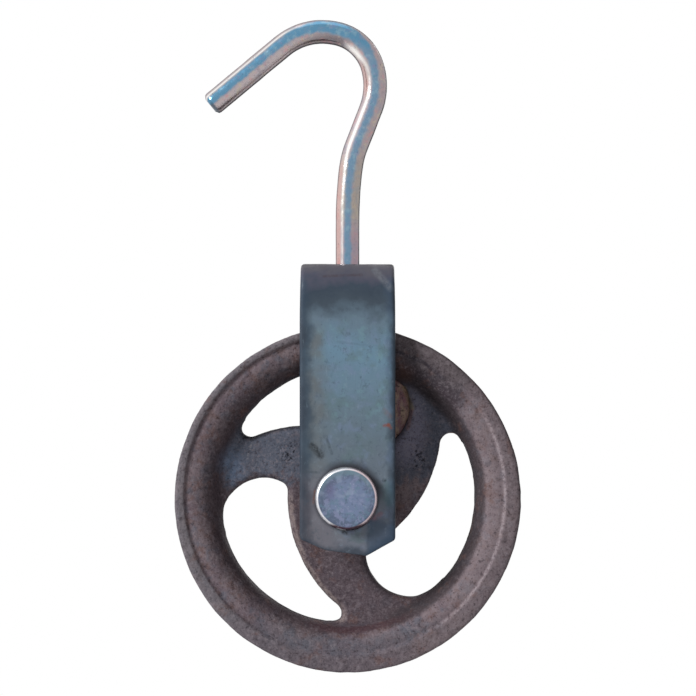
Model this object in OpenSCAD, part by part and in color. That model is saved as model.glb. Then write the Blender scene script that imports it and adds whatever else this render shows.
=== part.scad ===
// Hook pulley. A cast sheave with three swept arms turns on a headed pin between the legs
// of a folded strap, and the strap swivels on the shank of a bent rod hook.
// The origin is where the hook hangs: on the underside of its crown, in the rod's plane.
// +Z is up, +X is to the right of the front view, and the pin's head faces -Y.
// Every piece is drawn about the centre of the axle and then moved down to its place.

/* [Sheave] */
// Diameter over the lips
sheave_d = 146; // [130:1:170]
// Width across the two lips
rim_w = 32; // [30:0.5:40]
// Height of the flat ring on the side of each lip
lip_band = 5.8; // [4:0.1:7]
// How far a lip stands out from the side of the rope channel
lip_step = 2; // [1:0.1:3]
// Rounding of a lip's outer edge
lip_edge_r = 2; // [1:0.1:2.5]
// Radius of the round bottom of the rope groove
groove_r = 9; // [7:0.5:10]
// Depth of the rope groove below the lips
groove_depth = 13.7; // [11:0.1:15]
// How far the groove's mouth opens out on each side
groove_flare = 2; // [0.5:0.1:3]
// Metal left under the rope groove
channel_wall = 5; // [4:0.1:8]
// Rounding of the channel's two outside corners
channel_corner_r = 10; // [8:0.5:11]
// Diameter of the hub
hub_d = 34; // [28:1:40]
// Bevel on the hub's ends
hub_bevel = 1.2; // [0.5:0.1:2]

/* [Arms of the sheave] */
// Thickness of the arms
arm_t = 10; // [8:0.5:12]
// Fillet where the arms run into the rim and the hub
arm_fillet = 2.8; // [1.5:0.1:3.5]
// Distance from the axle to the nearest point of a window
window_root = 24.4; // [22:0.2:28]
// How much flatter than the rim the arms' backs are curved
back_flatter = 5.3; // [2:0.1:10]
// Radius of a window's broad end, as a share of the space from its root to the rim
broad_share = 0.61; // [0.55:0.01:0.68]
// Angle from a window's broad end to the middle of its arm's back
sweep = 196.8; // [190:0.1:205]
// Radius of a window's narrow tip
tip_r = 4.5; // [3.5:0.1:6]
// Radius of a window's corner next to the hub
corner_r = 4.5; // [3:0.1:6]
// How far the first window is turned from the level line
first_turn = -0.6; // [-10:0.1:10]
// How far the right-hand window sits past an even third of a turn
right_turn = 2.8; // [-4:0.1:4]
// Thickness of the skin of iron left in the broad end of the upper window
skin_t = 3; // [1.5:0.1:5]
// How far to the right of the axle that skin starts
skin_x = 14; // [8:0.5:18]

/* [Strap] */
// Width of the flat bar
strap_w = 40.4; // [36:0.1:46]
// Thickness of the flat bar
strap_t = 5; // [4:0.5:6]
// Rounding of the bar's long edges
strap_edge_r = 1.6; // [0.5:0.1:1.9]
// Radius on the inside of the two bends
bend_r = 7; // [4:0.5:12]
// Gap between a lip of the sheave and a leg of the strap
side_gap = 2.5; // [1.5:0.1:4]
// Room over the sheave, from its lips to the underside of the strap
rope_room = 21; // [18:0.5:30]
// Straight side of the right edge, below the axle
right_drop = 16.4; // [14:0.1:20]
// Straight side of the left edge, below the axle
left_drop = 15.6; // [14:0.1:20]
// Lowest point of the cropped end, below the axle
point_drop = 23.3; // [22:0.1:30]
// How far the lowest point lies to the right of the axle
point_x = 7.9; // [4:0.1:12]
// Shoulder of the cropped end, below the axle
shoulder_drop = 20.5; // [19:0.1:24]
// How far the shoulder lies to the left of the axle
shoulder_x = 9.4; // [5:0.1:14]
// Rounding of the corners of the cropped end
crop_r = 3; // [1:0.1:4]

/* [Axle pin] */
// Diameter of the pin
pin_d = 16; // [12:0.5:18]
// Diameter of the pin's head
pin_head_d = 26; // [23:0.1:30]
// Thickness of the pin's head
pin_head_t = 6; // [4:0.1:8]
// Rounding of the head's edge
pin_head_r = 1.9; // [0.5:0.1:2.5]
// Bevel on the pin's tail
pin_bevel = 1; // [0.5:0.1:1.5]
// Length of tail beyond the split pin's hole
pin_tail = 3.5; // [3:0.1:8]
// Diameter of the washer behind the strap
pin_washer_d = 30; // [26:0.5:36]
// Thickness of the washer behind the strap
pin_washer_t = 3; // [2:0.1:4]

/* [Split pin] */
// Diameter of the split pin's shank
split_d = 4; // [3:0.1:5]
// Inner radius of its eye
split_eye_r = 1.8; // [1.2:0.1:3]
// Diameter of the wire in its two bent legs, a little flattened
split_leg_d = 3.8; // [2.8:0.1:4.8]
// Bent length of its longer leg
split_leg = 10; // [7:0.5:14]
// How much shorter the other leg is
split_leg_less = 3; // [1:0.5:5]
// Angle that the legs are opened to
split_spread = 55; // [30:1:80]

/* [Hook] */
// Diameter of the rod
rod_d = 10; // [8:0.5:12]
// Bevel on the rod's two ends
rod_bevel = 0.9; // [0.3:0.1:2]
// Straight rod above the strap
neck_len = 17.2; // [10:0.1:30]
// Radius of the slight lean above the neck
lean_r = 200; // [150:1:300]
// Angle of the slight lean
lean_turn = 6.8; // [3:0.1:10]
// Radius of the kick to the right
kick_r = 39; // [25:0.5:60]
// Angle of the kick to the right
kick_turn = 14.4; // [8:0.5:20]
// Straight rod between the kick and the crown
back_len = 16.9; // [10:0.1:24]
// Radius of the crown's rising side
rise_r = 28; // [22:0.5:36]
// Angle of the crown's rising side
rise_turn = 38.8; // [25:1:50]
// Radius of the crown's tightest part
crown_r = 20.3; // [17:0.1:26]
// Angle of the crown's tightest part
crown_turn = 57.3; // [45:1:65]
// Radius of the crown's falling side
fall_r = 27.1; // [22:0.5:36]
// Angle of the crown's falling side
fall_turn = 54.8; // [45:1:65]
// Straight rod from the crown to the open point
point_len = 39.4; // [28:0.1:50]

/* [Nut and washer of the hook] */
// Width of the nut across its flats
nut_flats = 17; // [15:0.5:22]
// Height of the nut
nut_h = 8.4; // [6:0.1:11]
// Diameter of the washer under the strap
hook_washer_d = 20; // [18:0.5:26]
// Thickness of the washer under the strap
hook_washer_t = 2; // [1:0.1:3]
// Rod left standing below the nut
rod_tail = 2.6; // [1.5:0.1:4]

/* [Clearances] */
// Gap round the pin in the sheave and the strap
pin_clear = 0.1; // [0.05:0.01:0.1]
// Gap round the hook's shank in the strap
shank_clear = 0.3; // [0.2:0.05:0.5]
// Gap at each end of the hub
hub_clear = 0.3; // [0.2:0.05:0.5]
// Gap round a pin or rod in its washer
washer_clear = 0.25; // [0.2:0.05:0.5]
// Gap round the rod in its nut, in place of the thread
thread_clear = 0.05; // [0.02:0.01:0.1]
// Gap round the split pin in its hole
split_clear = 0.2; // [0.1:0.05:0.4]
// Play along the pin between its washer and the split pin
washer_play = 0.3; // [0.2:0.05:0.5]

/* [Hidden] */

ROUND_FINE = 96;
ROUND = 48;
ARC_STEPS = 9;
EDGE_STEPS = 3;
// Sides of the swept rod, and the most that it turns from one ring to the next
ROD_SIDES = 24;
ROD_STEP = 6;
// How far cutters run past what they cut
PAST = 1;
// How deep the skin in the window is rooted in the arm and the rim
SKIN_ROOT = 0.5;

sheave_r = sheave_d / 2;
channel_half = rim_w / 2 - lip_step;
groove_floor = sheave_r - groove_depth;
throat_r = groove_floor - channel_wall;
lip_root = sheave_r - lip_band;

leg_in = rim_w / 2 + side_gap;
leg_out = leg_in + strap_t;
hub_half = leg_in - hub_clear;
crown_under = sheave_r + rope_room;
crown_over = crown_under + strap_t;

pin_end = leg_out + pin_washer_t + washer_play + split_d + pin_tail;
split_y = leg_out + pin_washer_t + washer_play + split_d / 2;

rod_r = rod_d / 2;
rod_foot = crown_under - hook_washer_t - nut_h - rod_tail;

// The hook's run from its foot, as [radius, turn] or [0, length], left turns positive
HOOK_RUN = [
    [0, crown_over + neck_len - rod_foot],
    [lean_r, -lean_turn],
    [kick_r, -kick_turn],
    [0, back_len],
    [rise_r, rise_turn],
    [crown_r, crown_turn],
    [fall_r, fall_turn],
    [0, point_len]
];
// The piece of the run whose arc holds the hook's highest point
TOP_PIECE = 6;

function polar(r, a) = [r * cos(a), r * sin(a)];
function heading(v) = atan2(v[1], v[0]);
function turn_on(from, to) = to < from ? turn_on(from, to + 360) : to;
function turn_back(from, to) = to > from ? turn_back(from, to - 360) : to;
function arc(c, r, from, to, steps) = [for (i = [0:steps]) c + polar(r, from + (to - from) * i / steps)];
// The same arc without its last point, where the next arc starts
function open_arc(c, r, from, to) =
    [for (i = [0:ARC_STEPS - 1]) c + polar(r, from + (to - from) * i / ARC_STEPS)];

// The point at ra from a and rb from b, to the left of the line from a to b when side is 1
function meet(a, ra, b, rb, side) =
    let (d = norm(b - a), u = (b - a) / d, along = (ra * ra - rb * rb + d * d) / (2 * d))
    a + along * u + side * sqrt(max(0, ra * ra - along * along)) * [-u[1], u[0]];

// A corner b between a and c, rounded to radius r
function soft_corner(a, b, c, r) =
    let (u = (a - b) / norm(a - b), v = (c - b) / norm(c - b), half = acos(u * v) / 2,
         centre = b + (u + v) / norm(u + v) * r / sin(half),
         from = heading(b + u * r / tan(half) - centre),
         way = cross(b - a, c - b) > 0 ? 1 : -1)
    arc(centre, r, from, from + way * (180 - 2 * half), EDGE_STEPS);

// The outline of a window, widened by grow. Five arcs meet at their tangent points: the
// rim, the narrow tip, the back of an arm, the corner by the hub and the broad end.
back_r = throat_r + back_flatter;
back_c = [back_r - window_root, 0];
broad_r = (throat_r - window_root) * broad_share;
broad_c = polar(throat_r - broad_r, sweep);
tip_c = meet([0, 0], throat_r - tip_r, back_c, back_r + tip_r, -1);
corner_c = meet(broad_c, broad_r - corner_r, back_c, back_r + corner_r, 1);

function window_outline(grow) =
    let (tip_a = turn_on(sweep, heading(tip_c)),
         back_a = heading(tip_c - back_c),
         corner_a = heading(back_c - corner_c),
         broad_a = turn_on(corner_a, heading(corner_c - broad_c)))
    concat(
        arc([0, 0], throat_r + grow + PAST, sweep, tip_a, ARC_STEPS),
        open_arc(tip_c, tip_r + grow, tip_a, turn_on(tip_a, heading(back_c - tip_c))),
        open_arc(back_c, back_r - grow, back_a, turn_back(back_a, heading(corner_c - back_c))),
        open_arc(corner_c, corner_r + grow, corner_a, broad_a),
        arc(broad_c, broad_r + grow, broad_a, turn_on(broad_a, sweep), ARC_STEPS)
    );

WINDOW_TURNS = [first_turn, first_turn + 120 + right_turn, first_turn + 240];

module window_cuts() {
    for (turn = WINDOW_TURNS)
        rotate([0, 0, turn])
            linear_extrude(height = arm_t + 2 * arm_fillet + 2 * PAST, center = true)
                polygon(window_outline(0));
}

// The undressed skin that closes the broad end of the upper window, rooted in its wall
module window_skin() {
    linear_extrude(height = skin_t, center = true)
        intersection() {
            rotate(WINDOW_TURNS[2])
                polygon(window_outline(SKIN_ROOT));
            translate([skin_x, 0])
                square(throat_r);
        }
}

// How far out the channel's outside is, at a height above the middle of the rim
function channel_side(h) =
    let (over = h - (channel_half - channel_corner_r))
    throat_r + channel_corner_r - sqrt(channel_corner_r * channel_corner_r - over * over);

// Half of the rim's section, from the middle of the throat round to the middle of the
// groove: the channel's outside, the lip with its rounded edge, and the rope groove
function rim_half() =
    let (corner = [throat_r + channel_corner_r, channel_half - channel_corner_r],
         edge = [sheave_r - lip_edge_r, rim_w / 2 - lip_edge_r],
         groove = [groove_floor + groove_r, 0],
         mouth = groove_r + groove_flare / 2)
    concat(
        arc(corner, channel_corner_r, 180, 90, ARC_STEPS),
        [[lip_root - lip_step, channel_half], [lip_root, rim_w / 2]],
        arc(edge, lip_edge_r, 90, 0, EDGE_STEPS),
        [[sheave_r, mouth + groove_flare], [sheave_r - groove_flare, mouth]],
        arc(groove, groove_r, 90, 180, ARC_STEPS)
    );

// A fillet in the corner at the origin, filling the quarter x > 0, y > 0
module fillet_section(r) {
    difference() {
        square(r);
        translate([r, r])
            circle(r = r, $fn = ROUND);
    }
}

module rim_solid() {
    half = rim_half();
    other = [for (i = [len(half) - 2:-1:0]) [half[i][0], -half[i][1]]];
    rotate_extrude($fn = ROUND_FINE)
        polygon(concat(half, other));
}

// The plate that the arms are left from, with its fillets at the hub and the rim
module arm_plate() {
    rim_at = channel_side(arm_t / 2 + arm_fillet);
    rotate_extrude($fn = ROUND_FINE) {
        translate([0, -arm_t / 2])
            square([throat_r + 2 * PAST, arm_t]);
        for (s = [0, 1])
            mirror([0, s])
                translate([rim_at, arm_t / 2])
                    mirror([1, 0])
                        fillet_section(arm_fillet);
    }
}

module hub_solid() {
    rotate_extrude($fn = ROUND_FINE) {
        polygon([[0, -hub_half], [hub_d / 2 - hub_bevel, -hub_half], [hub_d / 2, hub_bevel - hub_half],
            [hub_d / 2, hub_half - hub_bevel], [hub_d / 2 - hub_bevel, hub_half], [0, hub_half]]);
        for (s = [0, 1])
            mirror([0, s])
                translate([hub_d / 2, arm_t / 2])
                    fillet_section(arm_fillet);
    }
}

// Centre of the arc that holds the hook's highest point, walking the run piece by piece
function after_piece(p, a, piece) =
    piece[0] == 0
        ? [p + polar(piece[1], a), a]
        : let (s = sign(piece[1]), c = p + polar(piece[0], a + 90 * s))
          [c + polar(piece[0], a - 90 * s + piece[1]), a + piece[1]];
function walk(p, a, i, stop) =
    i == stop ? [p, a] : let (n = after_piece(p, a, HOOK_RUN[i])) walk(n[0], n[1], i + 1, stop);
top_start = walk([0, rod_foot], 90, 0, TOP_PIECE);
top_c = top_start[0] + polar(fall_r, top_start[1] + 90);
seat = [top_c[0], top_c[1] + fall_r - rod_r];

// Moves a piece from the axle's centre to its place under the hook
module in_place() {
    translate([-seat[0], 0, -seat[1]])
        children();
}

// Turns a piece drawn along z so that it lies along the axle, its top towards the front
module along_axle() {
    rotate([90, 0, 0])
        children();
}

module sheave() {
    color([0.38, 0.34, 0.36])
        in_place()
            along_axle()
                difference() {
                    union() {
                        rim_solid();
                        hub_solid();
                        difference() {
                            arm_plate();
                            window_cuts();
                        }
                        window_skin();
                    }
                    cylinder(d = pin_d + 2 * pin_clear, h = 2 * hub_half + 2 * PAST, center = true,
                        $fn = ROUND_FINE);
                }
}

// Section of the flat bar: its width along x, its thickness up from y = 0
module bar_section() {
    translate([strap_edge_r - strap_w / 2, 0])
        square([strap_w - 2 * strap_edge_r, strap_t]);
    translate([-strap_w / 2, strap_edge_r])
        square([strap_w, strap_t - 2 * strap_edge_r]);
    for (x = [strap_edge_r - strap_w / 2, strap_w / 2 - strap_edge_r])
        for (y = [strap_edge_r, strap_t - strap_edge_r])
            translate([x, y])
                circle(r = strap_edge_r, $fn = ROUND);
}

// Outline of a leg from the front, with its cropped end
module leg_outline() {
    side = strap_w / 2;
    left = [-side, -left_drop];
    shoulder = [-shoulder_x, -shoulder_drop];
    point = [point_x, -point_drop];
    right = [side, -right_drop];
    top_left = [-side, crown_under];
    top_right = [side, crown_under];
    polygon(concat(
        [top_left],
        soft_corner(top_left, left, shoulder, crop_r),
        [shoulder, point],
        soft_corner(point, right, top_right, crop_r),
        [top_right]
    ));
}

module strap_frame() {
    bend_z = crown_under - bend_r;
    color([0.40, 0.48, 0.55])
        in_place()
            difference() {
                union() {
                    translate([0, 0, crown_under])
                        rotate([90, 0, 0])
                            linear_extrude(height = 2 * (leg_in - bend_r), center = true)
                                bar_section();
                    for (s = [0, 1])
                        mirror([0, s, 0]) {
                            translate([0, leg_in - bend_r, bend_z])
                                rotate([90, 0, 90])
                                    rotate_extrude(angle = 90, $fn = ROUND_FINE)
                                        translate([bend_r, 0])
                                            rotate(-90)
                                                bar_section();
                            intersection() {
                                translate([0, leg_in, -point_drop - PAST])
                                    linear_extrude(height = bend_z + point_drop + PAST)
                                        bar_section();
                                rotate([90, 0, 0])
                                    linear_extrude(height = 2 * leg_out + 2 * PAST, center = true)
                                        leg_outline();
                            }
                        }
                }
                along_axle()
                    cylinder(d = pin_d + 2 * pin_clear, h = 2 * leg_out + 2 * PAST, center = true,
                        $fn = ROUND_FINE);
                translate([0, 0, crown_under - PAST])
                    cylinder(d = rod_d + 2 * shank_clear, h = strap_t + 2 * PAST, $fn = ROUND_FINE);
            }
}

module axle_pin() {
    head_r = pin_head_d / 2;
    head_top = leg_out + pin_head_t;
    color([0.60, 0.65, 0.75])
        in_place()
            along_axle()
                difference() {
                    rotate_extrude($fn = ROUND_FINE) {
                        polygon([[0, leg_out], [head_r, leg_out], [head_r, head_top - pin_head_r],
                            [head_r - pin_head_r, head_top], [0, head_top]]);
                        translate([head_r - pin_head_r, head_top - pin_head_r])
                            circle(r = pin_head_r, $fn = ROUND);
                        polygon([[0, -pin_end], [pin_d / 2 - pin_bevel, -pin_end],
                            [pin_d / 2, pin_bevel - pin_end], [pin_d / 2, leg_out], [0, leg_out]]);
                    }
                    translate([0, 0, -split_y])
                        rotate([0, 90, 0])
                            cylinder(d = split_d + 2 * split_clear, h = pin_d + 2 * PAST, center = true,
                                $fn = ROUND);
                }
}

// A plain washer lying on z = 0
module washer(outer_d, hole_d, t) {
    difference() {
        cylinder(d = outer_d, h = t, $fn = ROUND_FINE);
        translate([0, 0, -PAST])
            cylinder(d = hole_d, h = t + 2 * PAST, $fn = ROUND_FINE);
    }
}

module pin_washer() {
    color([0.62, 0.64, 0.68])
        in_place()
            along_axle()
                translate([0, 0, -leg_out - pin_washer_t])
                    washer(pin_washer_d, pin_d + 2 * washer_clear, pin_washer_t);
}

// Half of a round wire, its flat side on x = 0
module half_wire(d) {
    intersection() {
        circle(d = d, $fn = ROUND);
        translate([0, -d])
            square(2 * d);
    }
}

module split_pin() {
    eye_x = pin_d / 2 + split_eye_r + split_d / 2;
    start = eye_x - split_eye_r - split_d / 8;
    knuckle_x = pin_d / 2 + split_clear;
    color([0.66, 0.67, 0.70])
        in_place()
            translate([0, split_y, 0]) {
                translate([-start, 0, 0])
                    rotate([0, 90, 0])
                        cylinder(d = split_d, h = start + knuckle_x, $fn = ROUND);
                translate([-eye_x, 0, 0])
                    rotate([90, 0, 0])
                        rotate_extrude($fn = ROUND)
                            translate([split_eye_r, 0])
                                half_wire(split_d);
                translate([knuckle_x, 0, 0]) {
                    sphere(d = split_d, $fn = ROUND);
                    for (s = [0, 1])
                        mirror([0, 0, s])
                            rotate([0, 90 - split_spread, 0])
                                rotate([0, 0, 180])
                                    linear_extrude(height = split_leg - s * split_leg_less)
                                        half_wire(split_leg_d);
                }
            }
}

// The rings of a swept rod, each [centre, heading, radius], along one piece of the run
function piece_rings(p, a, piece) =
    piece[0] == 0
        ? [[p, a, rod_r]]
        : let (s = sign(piece[1]), c = p + polar(piece[0], a + 90 * s),
               steps = ceil(abs(piece[1]) / ROD_STEP))
          [for (i = [0:steps - 1])
              let (turned = piece[1] * i / steps)
              [c + polar(piece[0], a - 90 * s + turned), a + turned, rod_r]];
function run_rings(p, a, i) =
    i == len(HOOK_RUN) ? [] :
    let (next = after_piece(p, a, HOOK_RUN[i]))
    concat(piece_rings(p, a, HOOK_RUN[i]), run_rings(next[0], next[1], i + 1));

// A rod swept through rings in the plane of x and z
module swept_rod(rings) {
    last = len(rings) - 1;
    points = [for (g = rings) for (i = [0:ROD_SIDES - 1])
        let (t = 360 * i / ROD_SIDES, across = polar(g[2] * cos(t), g[1] - 90))
        [g[0][0] + across[0], g[2] * sin(t), g[0][1] + across[1]]];
    sides = [for (k = [0:last - 1]) for (i = [0:ROD_SIDES - 1]) let (j = (i + 1) % ROD_SIDES)
        [k * ROD_SIDES + i, (k + 1) * ROD_SIDES + i, (k + 1) * ROD_SIDES + j, k * ROD_SIDES + j]];
    foot = [for (i = [0:ROD_SIDES - 1]) i];
    point = [for (i = [ROD_SIDES - 1:-1:0]) last * ROD_SIDES + i];
    polyhedron(points, concat(sides, [foot, point]), convexity = 8);
}

module hook() {
    foot = [0, rod_foot];
    end = walk(foot, 90, 0, len(HOOK_RUN));
    body = run_rings(foot, 90, 0);
    bevelled = concat(
        [[foot, 90, rod_r - rod_bevel], [foot + [0, rod_bevel], 90, rod_r]],
        [for (i = [1:len(body) - 1]) body[i]],
        [[end[0] - polar(rod_bevel, end[1]), end[1], rod_r], [end[0], end[1], rod_r - rod_bevel]]
    );
    color([0.72, 0.74, 0.78])
        in_place()
            swept_rod(bevelled);
}

module hook_washer() {
    color([0.62, 0.64, 0.68])
        in_place()
            translate([0, 0, crown_under - hook_washer_t])
                washer(hook_washer_d, rod_d + 2 * washer_clear, hook_washer_t);
}

module hook_nut() {
    across = nut_flats / cos(30);
    bevel = (across - nut_flats) / 2;
    bevel_h = bevel * tan(30);
    color([0.62, 0.64, 0.68])
        in_place()
            translate([0, 0, crown_under - hook_washer_t - nut_h])
                difference() {
                    intersection() {
                        cylinder(d = across, h = nut_h, $fn = 6);
                        rotate_extrude($fn = ROUND_FINE)
                            polygon([[0, 0], [nut_flats / 2, 0], [across / 2, bevel_h],
                                [across / 2, nut_h - bevel_h], [nut_flats / 2, nut_h], [0, nut_h]]);
                    }
                    translate([0, 0, -PAST])
                        cylinder(d = rod_d + 2 * thread_clear, h = nut_h + 2 * PAST, $fn = ROUND);
                }
}

sheave();
strap_frame();
axle_pin();
pin_washer();
split_pin();
hook();
hook_washer();
hook_nut();
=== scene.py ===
# Looks of the hook pulley: a rough cast sheave, a scaled strap, a plated hook and pin.
import math

import bpy
import numpy as np
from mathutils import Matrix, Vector


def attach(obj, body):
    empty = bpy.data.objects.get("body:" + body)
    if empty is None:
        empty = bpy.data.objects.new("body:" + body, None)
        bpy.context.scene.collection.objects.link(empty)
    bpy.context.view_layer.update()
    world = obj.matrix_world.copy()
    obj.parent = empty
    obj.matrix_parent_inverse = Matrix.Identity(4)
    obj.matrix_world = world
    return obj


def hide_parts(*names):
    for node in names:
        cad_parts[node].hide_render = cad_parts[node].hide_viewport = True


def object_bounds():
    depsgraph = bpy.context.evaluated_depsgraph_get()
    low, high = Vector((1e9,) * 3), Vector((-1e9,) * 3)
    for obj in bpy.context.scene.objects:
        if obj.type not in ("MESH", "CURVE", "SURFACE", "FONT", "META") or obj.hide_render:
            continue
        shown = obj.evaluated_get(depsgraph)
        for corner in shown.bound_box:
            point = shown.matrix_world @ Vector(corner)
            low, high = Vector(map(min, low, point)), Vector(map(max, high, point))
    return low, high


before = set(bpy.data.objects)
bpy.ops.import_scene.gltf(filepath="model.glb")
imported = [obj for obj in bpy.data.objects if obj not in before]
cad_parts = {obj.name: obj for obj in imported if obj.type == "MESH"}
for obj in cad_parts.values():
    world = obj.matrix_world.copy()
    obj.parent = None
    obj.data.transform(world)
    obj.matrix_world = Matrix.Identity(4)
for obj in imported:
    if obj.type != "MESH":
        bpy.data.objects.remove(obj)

CAD_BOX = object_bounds()
MM = 0.001

# Sizes in millimetres, about the centre of the axle, as in part.scad
AXLE = np.array([10.653549, 0.0, -193.111192])
SHEAVE_R = 73.0
RIM_HALF = 16.0
LIP_BAND = 5.8
LIP_EDGE_R = 2.0
GROOVE_R = 9.0
GROOVE_DEPTH = 13.7
GROOVE_FLARE = 2.0
CHANNEL_WALL = 5.0
GROOVE_FLOOR = SHEAVE_R - GROOVE_DEPTH
THROAT_R = GROOVE_FLOOR - CHANNEL_WALL
LIP_ROOT = SHEAVE_R - LIP_BAND
HUB_R = 17.0
HUB_HALF = 18.2
HUB_BEVEL = 1.2
BORE_R = 8.1
ARM_T = 10.0
ARM_FILLET = 2.8
ARM_EDGE_R = 3.0
WINDOW_ROOT = 24.4
BACK_FLATTER = 5.3
BROAD_SHARE = 0.61
SWEEP = 196.8
TIP_R = 4.5
CORNER_R = 4.5
WINDOW_TURNS = (-0.6, 122.2, 239.4)
UPPER_WINDOW = 2
SKIN_T = 3.0
SKIN_X = 14.0

STRAP_HALF = 20.2
STRAP_T = 5.0
STRAP_EDGE_R = 1.6
BEND_R = 7.0
LEG_IN = 18.5
LEG_OUT = LEG_IN + STRAP_T
CROWN_UNDER = 94.0
CROWN_OVER = CROWN_UNDER + STRAP_T
BEND_Z = CROWN_UNDER - BEND_R
PIN_HOLE_R = 8.1
SHANK_HOLE_R = 5.3

# The hook's run from its foot: a straight is 0 and its length, a bend its radius and turn
ROD_R = 5.0
ROD_FOOT = 81.0
NUT_TOP = 92.0
HOOK_RUN = ((0, CROWN_OVER + 17.2 - ROD_FOOT), (200, -6.8), (39, -14.4), (0, 16.9),
            (28, 38.8), (20.3, 57.3), (27.1, 54.8), (0, 39.4))

PIN_R = 8.0
PIN_HEAD_R = 13.0
PIN_HEAD_T = 6.0
PIN_HEAD_EDGE = 1.9
PIN_END = 34.3
PIN_BEVEL = 1.0
SPLIT_Y = 28.8
SPLIT_HOLE_R = 2.2

# Camera at the photograph's place: level, square to the wheel, a little above the axle
CAMERA_X = 10.85
CAMERA_Z = -129.51
CAMERA_AWAY = 1200.0
LENS = 145.86
SENSOR = 36.0


def make_camera():
    data = bpy.data.cameras.new("camera")
    data.lens = LENS
    data.sensor_width = SENSOR
    camera = bpy.data.objects.new("camera", data)
    camera.location = (CAMERA_X * MM, -CAMERA_AWAY * MM, CAMERA_Z * MM)
    camera.rotation_euler = (math.radians(90), 0, 0)
    bpy.context.scene.collection.objects.link(camera)
    bpy.context.scene.camera = camera


make_camera()

# Helpers for distance fields and meshes
CORNERS = [(i, j, k) for i in (0, 1) for j in (0, 1) for k in (0, 1)]
LATTICE = 32
FAR = 1e9
TINY = 1e-12


def mesh_object(name, points, faces):
    """A smooth mesh object from points in millimetres about the axle and a list of faces"""
    mesh = bpy.data.meshes.new(name)
    mesh.from_pydata(((points + AXLE) * MM).tolist(), [], faces)
    mesh.update()
    mesh.polygons.foreach_set("use_smooth", np.ones(len(mesh.polygons), bool))
    obj = bpy.data.objects.new(name, mesh)
    bpy.context.scene.collection.objects.link(obj)
    return obj


def lattice_noise(points, size, seed):
    """Smooth noise from -1 to 1 whose features are about that size"""
    table = np.random.default_rng(seed).uniform(-1, 1, (LATTICE, LATTICE, LATTICE))
    spot = points / size
    cell = np.floor(spot).astype(int)
    part = spot - cell
    part = part * part * (3 - 2 * part)
    total = np.zeros(len(points))
    for corner in CORNERS:
        near = np.abs(1 - np.array(corner) - part)
        total += near[:, 0] * near[:, 1] * near[:, 2] * table[tuple((cell + corner).T % LATTICE)]
    return total


def lumps(points, layers):
    """Sum of noises, each given as its depth, the size of its features and its seed"""
    return sum(depth * lattice_noise(points, size, seed) for depth, size, seed in layers)


def smooth_step(value, low, high):
    part = np.clip((value - low) / (high - low), 0, 1)
    return part * part * (3 - 2 * part)


def outline_distance(x, y, outline):
    """Distance from points to a closed outline, negative inside it"""
    nearest = np.full(np.shape(x), FAR)
    inside = np.zeros(np.shape(x), bool)
    for (ax, ay), (bx, by) in zip(outline, np.roll(outline, -1, axis=0)):
        ex, ey = bx - ax, by - ay
        square = ex * ex + ey * ey
        if square < TINY:
            continue
        along = np.clip(((x - ax) * ex + (y - ay) * ey) / square, 0, 1)
        nearest = np.minimum(nearest, (x - ax - ex * along) ** 2 + (y - ay - ey * along) ** 2)
        if abs(ey) > TINY:
            inside ^= ((ay > y) != (by > y)) & (x < ex * (y - ay) / ey + ax)
    return np.where(inside, -1, 1) * np.sqrt(nearest)


def fillet_union(a, b, r):
    """Union of two distance fields with a fillet of radius r"""
    return np.maximum(r, np.minimum(a, b)) - np.hypot(np.maximum(r - a, 0), np.maximum(r - b, 0))


def round_both(a, b, r):
    """Intersection of two distance fields with its edge rounded to radius r"""
    return np.hypot(np.maximum(a + r, 0), np.maximum(b + r, 0)) + np.minimum(np.maximum(a, b) + r, 0) - r


def grid_lines(low, high, step):
    return np.arange(low, high + step, step)


def skin_of_field(field, low, step):
    """Points and quads of the surface where a field on a grid crosses zero"""
    inside = field < 0
    cells = [n - 1 for n in field.shape]
    count = np.zeros(cells, np.int8)
    for i, j, k in CORNERS:
        count += inside[i:i + cells[0], j:j + cells[1], k:k + cells[2]]
    found = np.argwhere((count > 0) & (count < len(CORNERS)))
    number = np.full(cells, -1, np.int64)
    number[tuple(found.T)] = np.arange(len(found))
    values = [field[tuple((found + corner).T)] for corner in CORNERS]
    total, hits = np.zeros((len(found), 3)), np.zeros(len(found))
    for a, corner in enumerate(CORNERS):
        for axis, bit in enumerate((4, 2, 1)):
            if a & bit:
                continue
            first, second = values[a], values[a | bit]
            meets = (first < 0) != (second < 0)
            share = np.where(meets, first / np.where(meets, first - second, 1), 0)
            for side in range(3):
                total[:, side] += meets * (corner[side] + (share if side == axis else 0))
            hits += meets
    quads = []
    for axis in range(3):
        u, v = (axis + 1) % 3, (axis + 2) % 3
        lower = np.take(inside, range(cells[axis]), axis)
        upper = np.take(inside, range(1, cells[axis] + 1), axis)
        edges = np.argwhere(lower != upper)
        at_u, at_v = edges[:, u], edges[:, v]
        edges = edges[(at_u > 0) & (at_v > 0) & (at_u < cells[u]) & (at_v < cells[v])]
        du, dv = np.eye(3, dtype=int)[u], np.eye(3, dtype=int)[v]
        quad = np.stack([number[tuple((edges - back).T)] for back in (du + dv, dv, 0 * du, du)], 1)
        quads.append(np.where(lower[tuple(edges.T)][:, None], quad, quad[:, ::-1]))
    return np.asarray(low) + (found + total / hits[:, None]) * step, np.concatenate(quads).tolist()


def tube_faces(rings, sides):
    """Quads between rings of points, then a face over the first ring and one over the last"""
    last = (rings - 1) * sides
    faces = [[a + i, a + sides + i, a + sides + (i + 1) % sides, a + (i + 1) % sides]
             for a in range(0, last, sides) for i in range(sides)]
    return faces + [list(range(sides)), [last + i for i in reversed(range(sides))]]


def circle(sides):
    return np.arange(sides) * 2 * math.pi / sides


def vertex_normals(obj):
    normals = np.zeros(len(obj.data.vertices) * 3)
    obj.data.vertex_normals.foreach_get("vector", normals)
    return normals.reshape(-1, 3)


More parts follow.
